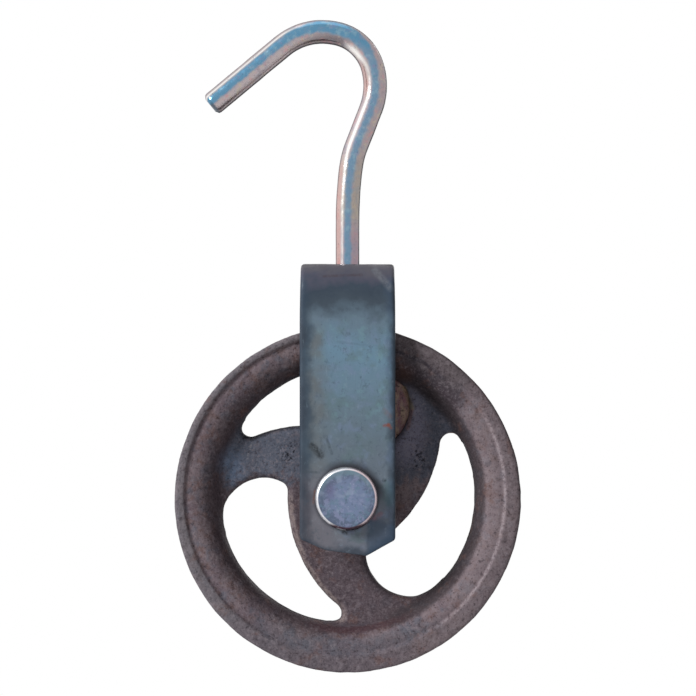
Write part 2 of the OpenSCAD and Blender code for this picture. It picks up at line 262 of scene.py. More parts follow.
def mesh_places(obj):
    places = np.zeros(len(obj.data.vertices) * 3)
    obj.data.vertices.foreach_get("co", places)
    return places.reshape(-1, 3)


def set_places(obj, places):
    obj.data.vertices.foreach_set("co", places.ravel())
    obj.data.update()


def push(obj, depth):
    """Moves each point of a mesh inwards along its normal by depth in millimetres"""
    set_places(obj, mesh_places(obj) - vertex_normals(obj) * (depth * MM)[:, None])


def keep_within(obj, greatest):
    """Draws in any point that lies further than that from the axle's line"""
    points = mesh_places(obj) / MM - AXLE
    far = np.hypot(points[:, 0], points[:, 2])
    points[:, (0, 2)] *= np.minimum(1, greatest / np.maximum(far, 1))[:, None]
    set_places(obj, (points + AXLE) * MM)


def keep_values(obj, **values):
    """Keeps a number at each point of a mesh under each name, for its material"""
    for name, numbers in values.items():
        attribute = obj.data.attributes.new(name, "FLOAT", "POINT")
        attribute.data.foreach_set("value", np.asarray(numbers, np.float32))


# Geometry of the sheave's windows: five arcs that meet at their tangent points
# How far a window's outline reaches into the rim
PAST_THROAT = 1.0


def polar(r, angle):
    return np.array([r * math.cos(math.radians(angle)), r * math.sin(math.radians(angle))])


def heading(v):
    return math.degrees(math.atan2(v[1], v[0]))


def turn_on(start, to):
    return to if to >= start else turn_on(start, to + 360)


def turn_back(start, to):
    return to if to <= start else turn_back(start, to - 360)


def arc(centre, r, start, to, steps=16):
    return [np.asarray(centre) + polar(r, start + (to - start) * i / steps) for i in range(steps + 1)]


def meet(a, ra, b, rb, side):
    """The point where two circles meet, on the left for side 1 and on the right for -1"""
    d = np.linalg.norm(b - a)
    u = (b - a) / d
    along = (ra * ra - rb * rb + d * d) / (2 * d)
    return a + along * u + side * math.sqrt(max(0, ra * ra - along * along)) * np.array([-u[1], u[0]])


def window_outline():
    axle = np.array([0.0, 0.0])
    back_r = THROAT_R + BACK_FLATTER
    back = np.array([back_r - WINDOW_ROOT, 0.0])
    broad_r = (THROAT_R - WINDOW_ROOT) * BROAD_SHARE
    broad = polar(THROAT_R - broad_r, SWEEP)
    tip = meet(axle, THROAT_R - TIP_R, back, back_r + TIP_R, -1)
    corner = meet(broad, broad_r - CORNER_R, back, back_r + CORNER_R, 1)
    tip_a = turn_on(SWEEP, heading(tip))
    back_a = heading(tip - back)
    corner_a = heading(back - corner)
    broad_a = turn_on(corner_a, heading(corner - broad))
    return np.array(
        arc(axle, THROAT_R + PAST_THROAT, SWEEP, tip_a, 40)
        + arc(tip, TIP_R, tip_a, turn_on(tip_a, heading(back - tip)))
        + arc(back, back_r, back_a, turn_back(back_a, heading(corner - back)), 40)
        + arc(corner, CORNER_R, corner_a, broad_a)
        + arc(broad, broad_r, broad_a, turn_on(broad_a, SWEEP), 30))


def turned(outline, angle):
    c, s = math.cos(math.radians(angle)), math.sin(math.radians(angle))
    return outline @ np.array([[c, s], [-s, c]])


# The sheave, as one field of distances: rim, hub and arms with their fillets
SHEAVE_STEP = 0.6
SHEAVE_REACH = 73.5
SHEAVE_DEPTH = 19.2
# The step inside its lip is softer than the drawn one, and its channel fuller
SOFT_STEP = 1.05
STEP_FOOT = (0.3, 0.15)
SOFT_CORNER_R = 11.0
# Radii at which the rim's section is worked out
RADII = np.arange(0, 110, 0.2)
# The casting isn't quite true: radius and centre of its outer edge, its step and its throat,
# and how much of the lumpy wander each follows
CIRCLES = ((73.1, 0.3, -0.3, 0.4), (67.9, -1.1, 1.8, 1.0), (54.3, -0.3, 0.8, 1.0))
WANDER = (0.28, 24, 3)
# How far each window is moved right and up, widened and sheared, by the same unevenness
WINDOW_NUDGES = ((-0.82, 0.25, -0.14, 0.0), (-0.46, 0.61, 0.63, 0.0), (-0.9, 1.0, 0.25, 0.05))
SHEAR_FROM_X = -33.0
# No part of it may pass its greatest radius
GREATEST_R = 72.98
# How far the arms and the skin in the upper window reach into the iron round them
INTO_RIM = 3
INTO_ARMS = 0.5
SKIN_EDGE_R = 0.5
SKIN_FILLET = 1.2
# The seam of the mould stands out along the middle of the casting
SEAM = 0.22
SEAM_HALF = 0.45
# Relief of the sand, as depth, size and seed, and how far it lies below the true surface
SAND = ((0.16, 9, 11), (0.10, 4, 12), (0.05, 1.7, 13))
SAND_DEPTH = 0.16
# Places where the sand left pits: right of the axle, above it, half width and height
PITTED = ((-25.0, 19.0, 5.0, 7.0), (30.0, 17.0, 4.5, 8.0))
PIT_SIZE = 1.9
PIT_SEED = 14
PIT_DEPTH = 0.30


def rim_outline():
    """Section of the rim as radius and height over its middle, both halves"""
    crest = RIM_HALF - SOFT_STEP
    corner = (THROAT_R + SOFT_CORNER_R, crest - SOFT_CORNER_R)
    edge = (SHEAVE_R - LIP_EDGE_R, RIM_HALF - LIP_EDGE_R)
    mouth = GROOVE_R + GROOVE_FLARE / 2
    step = LIP_ROOT - SOFT_STEP
    half = (arc(corner, SOFT_CORNER_R, 180, 90)
            + [(step - STEP_FOOT[0], crest - STEP_FOOT[1]), (step, crest), (LIP_ROOT, RIM_HALF)]
            + arc(edge, LIP_EDGE_R, 90, 0, 6)
            + [(SHEAVE_R, mouth + GROOVE_FLARE), (SHEAVE_R - GROOVE_FLARE, mouth)]
            + arc((GROOVE_FLOOR + GROOVE_R, 0), GROOVE_R, 90, 180))
    half = [tuple(p) for p in half]
    return np.array(half + [(r, -h) for r, h in reversed(half)])


def sheave_plan(x, z):
    """Radius at which the rim's true section is read there, and distances from the windows"""
    rho = np.hypot(x, z)
    cos_a, sin_a = x / np.maximum(rho, 1e-6), z / np.maximum(rho, 1e-6)
    flat = np.stack([x.ravel(), 0 * x.ravel(), z.ravel()], 1)
    wander = lumps(flat, (WANDER,)).reshape(x.shape)
    edge, step, throat = (r + cx * cos_a + cz * sin_a + share * wander for r, cx, cz, share in CIRCLES)
    lip = LIP_ROOT + (rho - step) * (SHEAVE_R - LIP_ROOT) / (edge - step)
    channel = THROAT_R + (rho - throat) * (LIP_ROOT - THROAT_R) / (step - throat)
    read_at = np.where(rho < edge, lip, SHEAVE_R + rho - edge)
    read_at = np.where(rho < throat, rho - throat + THROAT_R, np.where(rho < step, channel, read_at))
    windows = []
    for angle, (dx, dz, grow, shear) in zip(WINDOW_TURNS, WINDOW_NUDGES):
        outline = turned(window_outline(), angle)
        windows.append(outline_distance(x - dx, z - dz - shear * (x - SHEAR_FROM_X), outline) - grow)
    return read_at, windows


def make_sheave():
    across = grid_lines(-SHEAVE_REACH, SHEAVE_REACH, SHEAVE_STEP)
    deep = grid_lines(-SHEAVE_DEPTH, SHEAVE_DEPTH, SHEAVE_STEP)
    x, z = np.meshgrid(across, across, indexing="ij")
    rho = np.hypot(x, z)
    read_at, windows = sheave_plan(x, z)
    reach = rho - THROAT_R - INTO_RIM
    plate = np.maximum(-np.minimum.reduce(windows), reach)
    skin = np.maximum(np.maximum(windows[UPPER_WINDOW] - INTO_ARMS, SKIN_X - x), reach)
    section = rim_outline()
    field = np.empty((len(across), len(deep), len(across)), np.float32)
    for k, h in enumerate(np.abs(deep)):
        seam = SEAM * math.exp(-(h / SEAM_HALF) ** 2)
        rim = np.interp(read_at, RADII, outline_distance(RADII, np.full(len(RADII), h), section)) - seam
        arms = round_both(plate - seam, h - ARM_T / 2, ARM_EDGE_R)
        hub = round_both(rho - HUB_R, h - HUB_HALF, HUB_BEVEL)
        web = round_both(skin, h - SKIN_T / 2, SKIN_EDGE_R)
        solid = fillet_union(fillet_union(rim, arms, ARM_FILLET), hub, ARM_FILLET)
        solid = fillet_union(solid, web, SKIN_FILLET)
        field[:, k, :] = np.maximum(np.maximum(solid, BORE_R - rho), rho - GREATEST_R)
    points, quads = skin_of_field(field, (across[0], deep[0], across[0]), SHEAVE_STEP)
    obj = mesh_object("sheave_casting", points, quads)
    x, z = points[:, 0], points[:, 2]
    sand = lumps(points, SAND)
    pits = np.zeros(len(points))
    for x0, z0, wide, high in PITTED:
        here = 1 - smooth_step(np.hypot((x - x0) / wide, (z - z0) / high), 0.6, 1)
        pits += here * smooth_step(lattice_noise(points, PIT_SIZE, PIT_SEED), 0.15, 0.55)
    push(obj, np.where(np.hypot(x, z) < BORE_R + 1, 0, SAND_DEPTH + sand + PIT_DEPTH * pits))
    keep_within(obj, GREATEST_R)
    read_at, windows = sheave_plan(x, z)
    from_window = np.minimum.reduce(windows)
    keep_values(obj, rim_r=read_at, from_window=from_window, leftward=-vertex_normals(obj)[:, 0])
    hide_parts("sheave")
    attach(obj, "sheave")
    return obj


# The strap, a flat bar bent twice, as a field of distances
STRAP_STEP = 0.51
STRAP_REACH = ((-21.5, 21.5), (-24.75, 24.75), (-25, 100.5))
# Its outline from the front, open above: left side, lower left, shoulder, point, right side
STRAP_CORNERS = ((-STRAP_HALF, 130.0), (-STRAP_HALF, -16.1), (-9.4, -20.9),
                 (7.9, -23.3), (STRAP_HALF, -16.4), (STRAP_HALF, 130.0))
STRAP_CROP_R = 2.2
END_EDGE_R = 0.6
# It narrows towards its fold, by this much on each side between two heights
NARROWING = (0.5, 73, 98)
# Height above which a hole belongs to the shank
SHANK_ABOVE = 60
# Radii about the pin and the shank that stay plain
PLAIN_AT_PIN = 9.5
PLAIN_AT_SHANK = 6.5
SCALE = ((0.10, 16, 21), (0.05, 5, 22))
SCALE_DEPTH = 0.02


def soft_corner(a, b, c, r):
    """Arc of radius r that takes the place of corner b between a and c"""
    u, v = (a - b) / np.linalg.norm(a - b), (c - b) / np.linalg.norm(c - b)
    half = math.acos(float(u @ v)) / 2
    centre = b + (u + v) / np.linalg.norm(u + v) * r / math.sin(half)
    start = heading(b + u * r / math.tan(half) - centre)
    way = 1 if np.cross(b - a, c - b) > 0 else -1
    return arc(centre, r, start, start + way * (180 - 2 * math.degrees(half)), 6)


def leg_outline():
    top_left, left, shoulder, point, right, top_right = np.array(STRAP_CORNERS)
    return np.array([top_left] + soft_corner(top_left, left, shoulder, STRAP_CROP_R) + [shoulder, point]
                    + soft_corner(point, right, top_right, STRAP_CROP_R) + [top_right])


def make_strap():
    xs, ys, zs = (grid_lines(low, high, STRAP_STEP) for low, high in STRAP_REACH)
    y, z = np.meshgrid(np.abs(ys), zs, indexing="ij")
    middle = LEG_IN + STRAP_T / 2
    turn = LEG_IN - BEND_R
    leg = np.hypot(y - middle, np.maximum(z - BEND_Z, 0))
    top = np.hypot(z - CROWN_UNDER - STRAP_T / 2, np.maximum(y - turn, 0))
    bend = np.abs(np.hypot(y - turn, z - BEND_Z) - BEND_R - STRAP_T / 2)
    bend = np.where((y > turn) & (z > BEND_Z), bend, FAR)
    thick = np.minimum(np.minimum(leg, top), bend) - STRAP_T / 2
    narrow = NARROWING[0] * smooth_step(z, *NARROWING[1:])
    xg, zg = np.meshgrid(xs, zs, indexing="ij")
    outline = outline_distance(xg, zg, leg_outline())
    pin_hole = PIN_HOLE_R - np.hypot(xg, zg)
    field = np.empty((len(xs), len(ys), len(zs)), np.float32)
    for i, x in enumerate(xs):
        bar = round_both(np.abs(x) - STRAP_HALF + narrow, thick, STRAP_EDGE_R)
        bar = np.maximum(round_both(bar, outline[i], END_EDGE_R), pin_hole[i])
        field[i] = np.maximum(bar, np.where(z > SHANK_ABOVE, SHANK_HOLE_R - np.hypot(x, y), -9))
    points, quads = skin_of_field(field, (xs[0], ys[0], zs[0]), STRAP_STEP)
    obj = mesh_object("strap_bar", points, quads)
    x, y, z = points.T
    swell = lumps(points, SCALE) * smooth_step(STRAP_HALF - np.abs(x), 0, 3)
    plain = (np.hypot(x, z) < PLAIN_AT_PIN) | ((np.hypot(x, y) < PLAIN_AT_SHANK) & (z > SHANK_ABOVE))
    push(obj, np.where(plain, 0, SCALE_DEPTH + swell))
    keep_values(obj, from_edge=-outline_distance(x, z, leg_outline()))
    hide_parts("strap_frame")
    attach(obj, "frame")
    return obj


# The hook, a round rod swept along its run
HOOK_SIDES = 56
HOOK_RING = 0.9
THREAD_RING = 0.22
THREAD_PITCH = 1.5
THREAD_DEPTH = 0.55
THREAD_PAST_NUT = 1.5
THREAD_RUNOUT = 1.2
THREAD_SLACK = 0.04
FOOT_BEVEL = 0.9
NOSE = 2.0
NOSE_DEPTH = 0.85
DENTS = ((0.05, 7, 31), (0.03, 2.5, 32))
# It may not stand out of the part's box
BOX_SLACK = 0.02
# Bands along it: headings of the rod in degrees, and what is read there. The white band is a painted
# highlight, the blue and pink ones painted reflections of sky and surroundings, and the darker under side a
# painted dark reflection. A place across it runs from -1 on the left of its heading to 1 on the right.
HIGHLIGHT_AT = ((70, 82, 90, 108, 125, 150, 195, 215), (-0.58, -0.52, -0.46, -0.50, -0.66, -0.70, 0.72, 0.72))
HIGHLIGHT_HALF = ((70, 90, 118, 140, 200), (0.12, 0.10, 0.18, 0.24, 0.08))
HIGHLIGHT_STRENGTH = ((70, 90, 112, 126, 140, 156, 192, 212), (0.9, 0.5, 0.6, 1, 0.9, 0, 0, 0.95))
SKY_REFLECTION_AT = ((70, 90, 110, 150, 165, 219), (0.02, 0.0, 0.08, 0.32, 0.36, 0.24))
SKY_REFLECTION_HALF = ((70, 90, 110, 150, 165, 219), (0.32, 0.30, 0.34, 0.55, 0.58, 0.38))
PINK_REFLECTION_STRENGTH = ((76, 88, 112, 126), (0, 1, 0.5, 0))
MATTNESS = ((66, 77, 86, 90), (1, 1, 0.2, 0))
SHADINESS = ((138, 158), (0, 1))
UPTURN = ((118, 155), (0, 0.5))


def hook_run():
    """Rings along the hook as centre, heading and distance from the foot"""
    rings, place, angle, gone = [], np.array([0.0, ROD_FOOT]), 90.0, 0.0
    for r, turn in HOOK_RUN:
        if r == 0:
            length = turn
            steps = round(length / (HOOK_RING if rings else THREAD_RING))
            for i in range(steps):
                rings.append((place + polar(length * i / steps, angle), angle, gone + length * i / steps))
            place = place + polar(length, angle)
        else:
            side = math.copysign(90, turn)
            centre = place + polar(r, angle + side)
            length = math.radians(abs(turn)) * r
            steps = round(length / HOOK_RING)
            for i in range(steps):
                bent = turn * i / steps
                spot = centre + polar(r, angle - side + bent)
                rings.append((spot, angle + bent, gone + length * i / steps))
            place = centre + polar(r, angle - side + turn)
            angle += turn
        gone += length
    return rings + [(place, angle, gone)]


def make_hook():
    rings = hook_run()
    total = rings[-1][2]
    around = circle(HOOK_SIDES)
    points, facing = [], []
    thread_end = NUT_TOP - ROD_FOOT + THREAD_PAST_NUT
    for centre, angle, gone in rings:
        r = np.full(HOOK_SIDES, ROD_R)
        if gone < thread_end:
            phase = (gone / THREAD_PITCH + around / (2 * math.pi)) % 1
            runout = smooth_step(thread_end - gone, 0, THREAD_RUNOUT)
            r = r - THREAD_SLACK - THREAD_DEPTH * (1 - np.abs(2 * phase - 1)) * runout
        nose = NOSE - math.sqrt(max(0, NOSE ** 2 - max(0, NOSE - (total - gone)) ** 2))
        r = np.minimum(r, ROD_R - max(FOOT_BEVEL - gone, 0)) - nose * NOSE_DEPTH
        out = polar(1, angle - 90)
        side = np.stack([np.cos(around) * out[0], np.sin(around), np.cos(around) * out[1]], 1)
        points.append(np.array([centre[0], 0.0, centre[1]]) + r[:, None] * side)
        facing.append(side)
    points, facing = np.concatenate(points), np.concatenate(facing)
    obj = mesh_object("hook_rod", points, tube_faces(len(rings), HOOK_SIDES))
    for cap in (-1, -2):
        obj.data.polygons[cap].use_smooth = False
    free = smooth_step(points[:, 2], CROWN_OVER + 2, CROWN_OVER + 12)
    dents = lumps(points, DENTS)
    moved = mesh_places(obj) / MM - AXLE - facing * ((dents - 0.02) * free)[:, None]
    moved[:, 2] = np.minimum(moved[:, 2], CAD_BOX[1][2] / MM - AXLE[2] - BOX_SLACK)
    set_places(obj, (moved + AXLE) * MM)
    heads = np.repeat([angle for _, angle, _ in rings], HOOK_SIDES)
    outer = np.tile(np.cos(around), len(rings))
    highlight_at, highlight_half = np.interp(heads, *HIGHLIGHT_AT), np.interp(heads, *HIGHLIGHT_HALF)
    sky_at, sky_half = np.interp(heads, *SKY_REFLECTION_AT), np.interp(heads, *SKY_REFLECTION_HALF)
    # Painted highlight (white), painted reflections of the sky (blue) and of the surroundings (pink),
    # painted dark reflection on the under side, and painted shade at the edges
    keep_values(
        obj,
        white=np.interp(heads, *HIGHLIGHT_STRENGTH) * np.exp(-((outer - highlight_at) / highlight_half) ** 2),
        blue=1 - smooth_step(np.abs(outer - sky_at), sky_half - 0.24, sky_half + 0.20),
        pink=smooth_step(highlight_at - outer, 0.05, 0.2) * np.interp(heads, *PINK_REFLECTION_STRENGTH),
        matt=smooth_step(-outer, 0.12, 0.30) * np.interp(heads, *MATTNESS),
        under=smooth_step(-outer, -0.1, 0.5) * np.interp(heads, *SHADINESS),
        upward=facing[:, 2] + np.interp(heads, *UPTURN),
        edge=1 - smooth_step(np.abs(facing[:, 1]), 0.24, 0.52),
        to_end=np.repeat([total - gone for _, _, gone in rings], HOOK_SIDES))
    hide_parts("hook")
    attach(obj, "hook")
    return obj


# The pin, turned about the axle. Its hammered head sits a little high and left of its shank.
PIN_SIDES = 128
HEAD_OFF = (-0.5, 1.0)
HEAD_RINGS = 12
HEAD_BEVEL = 0.4
# Rings of the shank, as distance below the head, closer together where the drill goes through
SHANK_RINGS = (10, 20, 30, 40, 45, 48, 51, 54, 56)
CENTRE_R = 0.02
END_RING_R = 4.0
BEATEN_DEPTH = 0.10
DRILL_SIDES = 40
DRILL_LENGTH = 24


def cutter_rod(name, r, length, y):
    """A short round rod along x, used to drill the pin"""
    around = circle(DRILL_SIDES)
    points = np.concatenate([
        np.stack([np.full(DRILL_SIDES, s * length / 2), y + r * np.cos(around), r * np.sin(around)], 1)
        for s in (-1, 1)])
    return mesh_object(name, points, [face[::-1] for face in tube_faces(2, DRILL_SIDES)])


def drill_through(obj, drill):
    """Cuts one object out of another and removes the first"""
    cut = obj.modifiers.new("split_hole", "BOOLEAN")
    cut.object = drill
    cut.operation = "DIFFERENCE"
    cut.solver = "EXACT"
    graph = bpy.context.evaluated_depsgraph_get()
    mesh = bpy.data.meshes.new_from_object(obj.evaluated_get(graph))
    obj.modifiers.clear()
    obj.data = mesh
    bpy.data.objects.remove(drill)


def make_pin():
    head_top = LEG_OUT + PIN_HEAD_T
    flat_r = PIN_HEAD_R - PIN_HEAD_EDGE
    profile = np.array(
        [(CENTRE_R, head_top)] + [(flat_r * i / HEAD_RINGS, head_top) for i in range(1, HEAD_RINGS + 1)]
        + [tuple(p) for p in arc((flat_r, head_top - PIN_HEAD_EDGE), PIN_HEAD_EDGE, 90, 0, 12)][1:]
        + [(PIN_HEAD_R, LEG_OUT + HEAD_BEVEL), (PIN_HEAD_R - HEAD_BEVEL, LEG_OUT), (PIN_R, LEG_OUT)]
        + [(PIN_R, LEG_OUT - s) for s in SHANK_RINGS]
        + [(PIN_R, PIN_BEVEL - PIN_END), (PIN_R - PIN_BEVEL, -PIN_END)]
        + [(END_RING_R, -PIN_END), (CENTRE_R, -PIN_END)])
    around = circle(PIN_SIDES)
    points = np.concatenate([
        np.stack([r * np.cos(around) + HEAD_OFF[0] * (h > LEG_OUT), np.full(PIN_SIDES, -h),
                  r * np.sin(around) + HEAD_OFF[1] * (h > LEG_OUT)], 1) for r, h in profile])
    obj = mesh_object("pin_turned", points, tube_faces(len(profile), PIN_SIDES))
    head = points[:, 1] < -LEG_OUT - 1.0
    edge = smooth_step(np.hypot(points[:, 0] - HEAD_OFF[0], points[:, 2] - HEAD_OFF[1]), 8, 12.5)
    beaten = 0.10 * lattice_noise(points, 5, 41) * edge + 0.04 * lattice_noise(points, 2.2, 42)
    push(obj, np.where(head, BEATEN_DEPTH + beaten, 0))
    drill_through(obj, cutter_rod("split_hole", SPLIT_HOLE_R, DRILL_LENGTH, SPLIT_Y))
    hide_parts("axle_pin")
    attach(obj, "pin")
    return obj


# Helpers for node materials
def colour(code):
    """A colour written as in the web, as the linear values that the shaders take"""
    parts = [int(code[i:i + 2], 16) / 255 for i in (0, 2, 4)]
    linear = [c / 12.92 if c <= 0.04045 else ((c + 0.055) / 1.055) ** 2.4 for c in parts]
    return (*linear, 1.0)


def set_inputs(node, **values):
    """Sets sockets of a node, each named with underscores for its spaces"""
    for name, value in values.items():
        node.inputs[name.replace("_", " ")].default_value = value


class Look:
    """A node material built up in layers. Its place is in millimetres about the axle."""

    def __init__(self, name):
        self.material = bpy.data.materials.new(name)
        self.material.use_nodes = True
        self.tree = self.material.node_tree
        self.shader = self.tree.nodes["Principled BSDF"]
        where = self.node("TexCoord")
        moved = self.vector("SUBTRACT", where.outputs["Object"], tuple(AXLE * MM))
        scaled = self.node("VectorMath")
        scaled.operation = "SCALE"
        self.put(scaled.inputs[0], moved)
        set_inputs(scaled, Scale=1 / MM)
        self.place = scaled.outputs["Vector"]
        split = self.node("SeparateXYZ")
        self.put(split.inputs[0], self.place)
        self.x, self.y, self.z = split.outputs
        self.base = None

    def node(self, kind):
        return self.tree.nodes.new("ShaderNode" + kind)

    def put(self, socket, value):
        if isinstance(value, bpy.types.NodeSocket):
            self.tree.links.new(value, socket)
        elif value is not None:
            socket.default_value = value

    def vector(self, operation, a, b):
        node = self.node("VectorMath")
        node.operation = operation
        self.put(node.inputs[0], a)
        self.put(node.inputs[1], b)
        return node.outputs["Vector"]

    def maths(self, operation, a, b=None):
        node = self.node("Math")
        node.operation = operation
        self.put(node.inputs[0], a)
        self.put(node.inputs[1], b)
        return node.outputs[0]

    def plus(self, a, b):
        return self.maths("ADD", a, b)

    def minus(self, a, b):
        return self.maths("SUBTRACT", a, b)

    def times(self, *values):
        result = values[0]
        for value in values[1:]:
            result = self.maths("MULTIPLY", result, value)
        return result

    def length(self, a, b):
        return self.maths("SQRT", self.plus(self.times(a, a), self.times(b, b)))

    def noise(self, size, detail=2.0, rough=0.5, shift=0.0, stretch=(1, 1, 1), twist=0.0):
        """Noise from 0 to 1 whose features are about that many millimetres"""
        node = self.node("TexNoise")
        spot = self.place
        if stretch != (1, 1, 1):
            spot = self.vector("MULTIPLY", spot, stretch)
        if shift:
            spot = self.vector("ADD", spot, (shift, shift * 0.7, -shift))
        self.put(node.inputs["Vector"], spot)
        set_inputs(node, Scale=1 / size, Detail=detail, Roughness=rough, Distortion=twist)
        return node.outputs["Fac"]

    def fit(self, value, low, high, to_low=0.0, to_high=1.0, kind="SMOOTHSTEP"):
        """Maps low to high onto to_low to to_high, smoothly or as kind says, and holds both ends"""
        node = self.node("MapRange")
        node.interpolation_type = kind
        self.put(node.inputs["Value"], value)
        set_inputs(node, From_Min=low, From_Max=high, To_Min=to_low, To_Max=to_high)
        return node.outputs["Result"]

    def blend(self, amount, first, second):
        """A mix of two colours, each given as a code or a socket"""
        node = self.node("Mix")
        node.data_type = "RGBA"
        self.put(node.inputs["Factor"], amount)
        for socket, shade in zip(node.inputs[6:8], (first, second)):
            self.put(socket, colour(shade) if isinstance(shade, str) else shade)
        return node.outputs[2]

    def paint(self, shade, *amounts):
        """Lays a colour over the base, as strongly as the product of the amounts"""
        self.base = self.blend(self.times(*amounts), self.base, shade)

    def far_from(self, x, z, wide=1.0, high=1.0):
        """Distance on the face from a place, in those units across and up"""
        dx = self.maths("DIVIDE", self.minus(self.x, x), wide)
        dz = self.maths("DIVIDE", self.minus(self.z, z), high)
        return self.length(dx, dz)

    def front(self):
        """1 on the half of the object that faces the camera, 0 on the other"""
        return self.fit(self.y, 0, 1, 1, 0)

    def spot(self, x, z, wide, high, soft):
        """1 inside an oval patch of the front, fading to 0 at its edge"""
        return self.times(self.fit(self.far_from(x, z, wide, high), 1 - soft, 1, 1, 0), self.front())

    def stroke(self, x0, z0, x1, z1, half, soft):
        """1 along a straight mark on the front, fading to 0 at that distance from it"""
        ex, ez = x1 - x0, z1 - z0
        square = ex * ex + ez * ez
        along = self.plus(self.times(self.minus(self.x, x0), ex / square),
                          self.times(self.minus(self.z, z0), ez / square))
        along = self.fit(along, 0, 1, kind="LINEAR")
        dx = self.minus(self.x, self.plus(self.times(along, ex), x0))
        dz = self.minus(self.z, self.plus(self.times(along, ez), z0))
        return self.times(self.fit(self.length(dx, dz), half * (1 - soft), half, 1, 0), self.front())

    def attribute(self, name):
        node = self.node("Attribute")
        node.attribute_name = name
        return node.outputs["Fac"]

    def bump(self, height, distance, strength, under=None):
        node = self.node("Bump")
        set_inputs(node, Strength=strength, Distance=distance * MM)
        self.put(node.inputs["Height"], height)
        self.put(node.inputs["Normal"], under)
        return node.outputs["Normal"]

    def finish(self, rough, normal, **fixed):
        values = {"Base Color": self.base, "Roughness": rough, "Normal": normal, **fixed}
        for name, value in values.items():
            self.put(self.shader.inputs[name.replace("_", " ")], value)
        return self.material


def dress(obj, material):
    obj.data.materials.clear()
    obj.data.materials.append(material)


# Finish of the casting. Strokes are two places, half width and softness.
# The next two strokes are the painted shadow of the strap, on the channel and on the lip of the upper right
RIM_SHADE = (16.0, 60.0, 44.0, 44.0, 10.0, 0.9)
LIP_SHADOW = (20.0, 67.0, 46.0, 53.0, 11.0, 0.8)
ARM_SCRATCH = (-40.5, 24.0, -42.5, 17.0, 0.7, 0.8)
INK_LINES = (((19.5, 62.5, 31.5, 58.0, 1.3, 0.8), 0.7), ((31.5, 58.0, 40.0, 51.0, 1.2, 0.9), 0.6))
# Painted highlights along the lit right edge of the skin in the upper window
SKIN_EDGE_HIGHLIGHTS = (((24.0, 46.5, 27.4, 38.0, 1.6, 0.8), "857653"),
                ((27.2, 37.0, 25.5, 29.5, 1.3, 0.8), "83605a"))
# Spots are a place, half width, half height and softness
BLUE_SPOT = (-49.0, 13, 8, 12, 0.9)
# This spot is painted light on the right arm, which lies in the strap's shadow
ARM_LIGHT_SPOT = (24.0, 30.0, 13, 22, 0.6)
RUSTY_SPOT = (23.5, 53.0, 7, 6, 0.9)
PIT_SOFTNESS = 0.6


